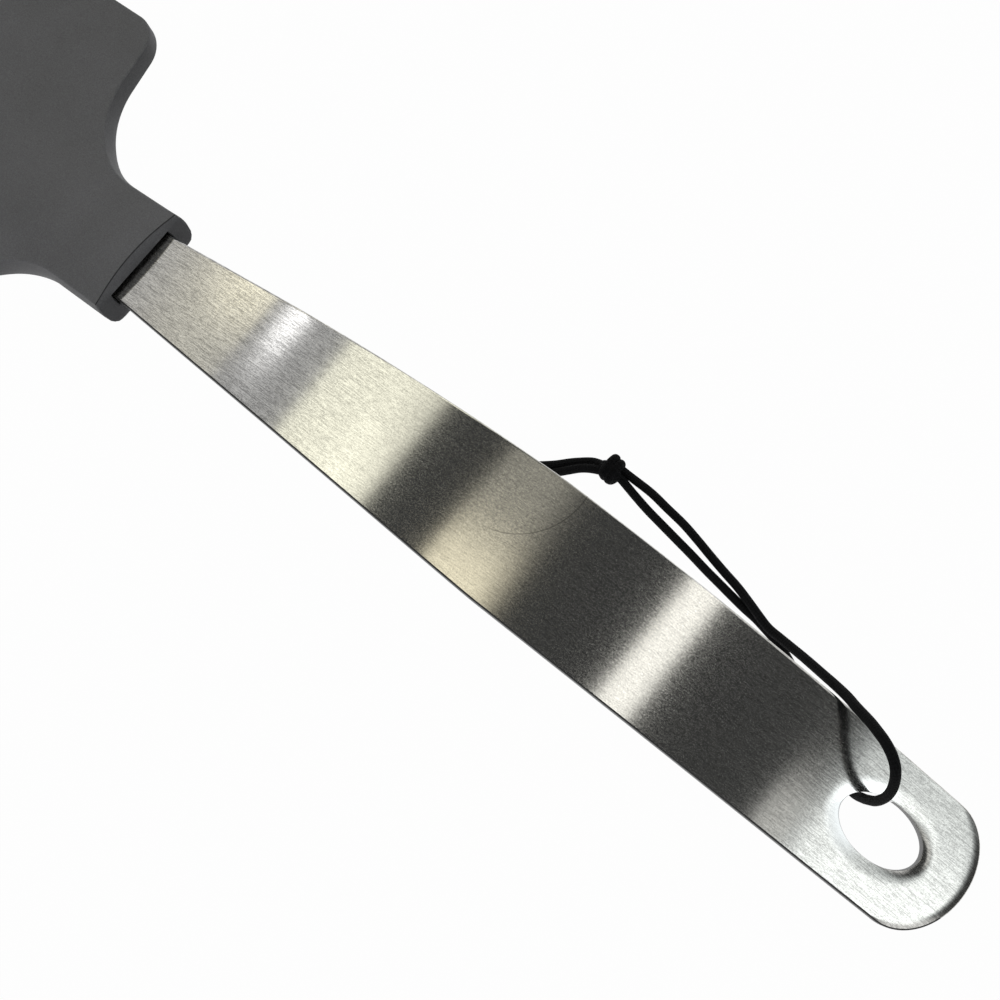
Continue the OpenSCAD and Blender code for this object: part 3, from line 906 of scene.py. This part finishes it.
def makeCord():
    look = cordLook
    material, build = startMaterial("braidedCord")
    turn, length, _ = splitVector(build, build.node("ShaderNodeTexCoord", out="UV"))
    around, along = turn * (2 * math.pi * look["strands"]), length * look["lay"]
    weave = (around + along).math("SINE") * (around - along).math("SINE")
    fuzz = noise(build, objectPlace(build), *look["fuzz"])
    weaveRelief, fuzzRelief = look["relief"]
    bump = bumpFrom(build, look, weave * weaveRelief + fuzz * fuzzRelief)
    tone = blendColour(build, weave.spread(-1.0, 1.0), *look["tones"])
    shader = build.node("ShaderNodeBsdfPrincipled", None, Base_Color=tone, Normal=bump,
                        Roughness=look["rough"], Specular_IOR_Level=look["specular"])
    build.output("ShaderNodeOutputMaterial", shader)
    return material


dress([headPiece], makeNylon())
dress([handlePiece], makeSteel())
dress(cordPieces, makeCord())
print("materials made")


# Studio: a pale floor, and a canopy whose light and dark bands the steel mirrors

white = (1, 1, 1, 1)
studio = {
    "floorHalf": 3.0,  # metres
    "floorDrop": 0.05, "floorColour": (0.42, 0.42, 0.42, 1),
    "floorLift": 0.982,  # how much of the floor shows as the plain white background
    "radius": 12.0,  # metres, of the canopy of cards and light panels over the table
    "reach": (89, 0.93),  # of the canopy: degrees from straight up, and share to the side
    "grid": (120, 80),
    "dark": (0.062, 0.063, 0.063, 1),
    "middle": 0.12,  # share to the side at which the handle mirrors the canopy
    "bright": (0.45, 0.8),  # where the canopy ends on the cord's side
    "sideLight": (0.70, 0.70, 0.70, 1),
    "fill": (0.42, 0.65),  # where the soft light on the other side begins
    "fillLight": (0.70, 0.70, 0.71, 1),
    "panelEnd": (0.13, 0.32),  # where the panels end on the other side
}
# Light panels, from the blade's side over the top to the handle's end. from and to: degrees from
# straight up; soft: width of both edges, in degrees; low and high: where the panel starts or ends
# to the side, over a width of fade; far: it has no panelEnd.
panels = [
    {"from": -95.0, "to": -61.8, "soft": (1, 0.8), "light": (0.45, 0.45, 0.47)},
    {"from": -61.8, "to": -61.0, "soft": (0.8, 0.8), "light": (0.56, 0.54, 0.48)},
    {"from": -61.0, "to": -59.0, "soft": (0.8, 0.6), "light": (0.70, 0.68, 0.60)},
    {"from": -60.6, "to": -59.0, "soft": (0.8, 0.7), "light": (0.95, 0.88, 0.62), "low": 0.110,
     "fade": 0.03},
    {"from": -59.0, "to": -46.0, "soft": (0.6, 0.8), "light": (0.38, 0.38, 0.39)},
    {"from": -56.2, "to": -52.6, "soft": (2.0, 2.0), "light": (1.75, 1.75, 1.80), "low": 0.111,
     "high": 0.157, "fade": 0.036},
    {"from": -45.9, "to": -30.6, "soft": (1.2, 1.6), "light": (0.88, 0.865, 0.735)},
    {"from": -46.0, "to": -33.5, "soft": (1.2, 8.0), "light": (0.37, 0.37, 0.31)},
    {"from": -38.0, "to": -31.0, "soft": (4.0, 1.6), "light": (0.35, 0.345, 0.29), "high": 0.115,
     "fade": 0.04},
    {"from": -20.6, "to": -11.4, "soft": (1.4, 6.0), "light": (0.29, 0.28, 0.24)},
    {"from": -20.6, "to": -11.0, "soft": (1.4, 5.0), "light": (1.0, 0.91, 0.66), "high": 0.107,
     "fade": 0.03},
    {"from": 5.4, "to": 9.9, "soft": (1.0, 1.0), "light": (1.62, 1.60, 1.52)},
    {"from": 27.4, "to": 31.5, "soft": (1.2, 2.0), "light": (0.66, 0.66, 0.64), "high": 0.112,
     "fade": 0.02},
    {"from": 32.4, "to": 49.0, "soft": (6.5, 14.0), "light": (0.56, 0.60, 0.61)},
    {"from": 32.4, "to": 47.0, "soft": (3.0, 10.0), "light": (0.71, 0.73, 0.73), "high": 0.122,
     "fade": 0.03},
    {"from": 10.0, "to": 30.0, "soft": (4.0, 4.0), "light": (0.7, 0.7, 0.7), "low": 0.29,
     "fade": 0.12},
    {"from": 34.0, "to": 46.0, "soft": (4.0, 6.0), "light": (0.35, 0.36, 0.36)},
    {"from": 44.0, "to": 66.0, "soft": (6.0, 8.0), "light": (0.8, 0.8, 0.8), "high": -0.02,
     "fade": 0.1, "far": True},
]


# Dark cards with light panels added to them, placed by the canopy's own UV.
def canopyMaterial():
    material, build = startMaterial("canopyPanels")
    turn, side, _ = splitVector(build, build.node("ShaderNodeTexCoord", out="UV"))
    side = side - studio["middle"]
    other = 0 - side
    inReach = other.spread(*studio["panelEnd"], 1.0, 0.0, "SMOOTHSTEP")
    room = studio["dark"]
    for panel in panels:
        first, last = panel["soft"]
        share = turn.stepAt(panel["from"], first) * (1 - turn.stepAt(panel["to"], last))
        if "far" not in panel:
            share = share * inReach
        if "low" in panel:
            share = share * side.stepAt(panel["low"] - studio["middle"], panel["fade"])
        if "high" in panel:
            share = share * (1 - side.stepAt(panel["high"] - studio["middle"], panel["fade"]))
        glow = blendColour(build, share, (0, 0, 0, 1), (*panel["light"], 1))
        room = blendColour(build, 1.0, room, glow, "ADD")
    room = blendColour(build, side.spread(*studio["bright"], kind="SMOOTHSTEP"), room,
                       studio["sideLight"])
    room = blendColour(build, other.spread(*studio["fill"], kind="SMOOTHSTEP"), room,
                       studio["fillLight"])
    build.output("ShaderNodeOutputMaterial", build.node("ShaderNodeEmission", None, room, 1.0))
    material.cycles.emission_sampling = "NONE"
    return material


# Part of a large sphere, as x = level sin turn, y = side and z = level cos turn, where level is
# the root of 1 - side^2. Its UV is the turn from straight up and the share to the side.
def addCanopy():
    reachTurn, reachSide = studio["reach"]
    rows, columns = studio["grid"]
    turn, side = np.meshgrid(np.linspace(-reachTurn, reachTurn, rows),
                             np.linspace(-reachSide, reachSide, columns), indexing="ij")
    level = np.sqrt(1 - side ** 2)
    a = np.radians(turn)
    points = np.stack([level * np.sin(a), side, level * np.cos(a)], -1) * studio["radius"]
    canopy = newMesh("lightCanopy", points, gridFaces(*turn.shape).tolist(),
                     np.stack([turn, side], -1))
    canopy.visible_camera = False
    dress([canopy], canopyMaterial())


def makeWorld():
    world = bpy.data.worlds.new("whiteRoom")
    world.use_nodes = True
    bpy.context.scene.world = world
    build = Build(world.node_tree)
    build.output("ShaderNodeOutputWorld", build.node("ShaderNodeBackground", None, white, 1.0))


def addFloor():
    half, drop = studio["floorHalf"], studio["floorDrop"] * mm
    points = np.array([(-half, -half, 0), (half, -half, 0), (half, half, 0), (-half, half, 0)])
    floor = newMesh("paleFloor", points - (0, 0, drop), [[0, 1, 2, 3]])
    material, build = startMaterial("paleFloor")
    matte = build.node("ShaderNodeBsdfDiffuse", None, studio["floorColour"])
    glow = build.node("ShaderNodeEmission", None, white, 1.0)
    rays = build.node("ShaderNodeLightPath").socket.node.outputs
    camera, glossy, through = (Socket(build, rays[f"Is {kind} Ray"])
                               for kind in ("Camera", "Glossy", "Transmission"))
    seen = camera.math("MAXIMUM", glossy).math("MAXIMUM", through)
    build.output("ShaderNodeOutputMaterial", build.node(
        "ShaderNodeMixShader", None, seen * studio["floorLift"], matte, glow))
    dress([floor], material)


addCanopy()
makeWorld()
addFloor()
bpy.context.scene.view_settings.view_transform = "Standard"
print("studio made")
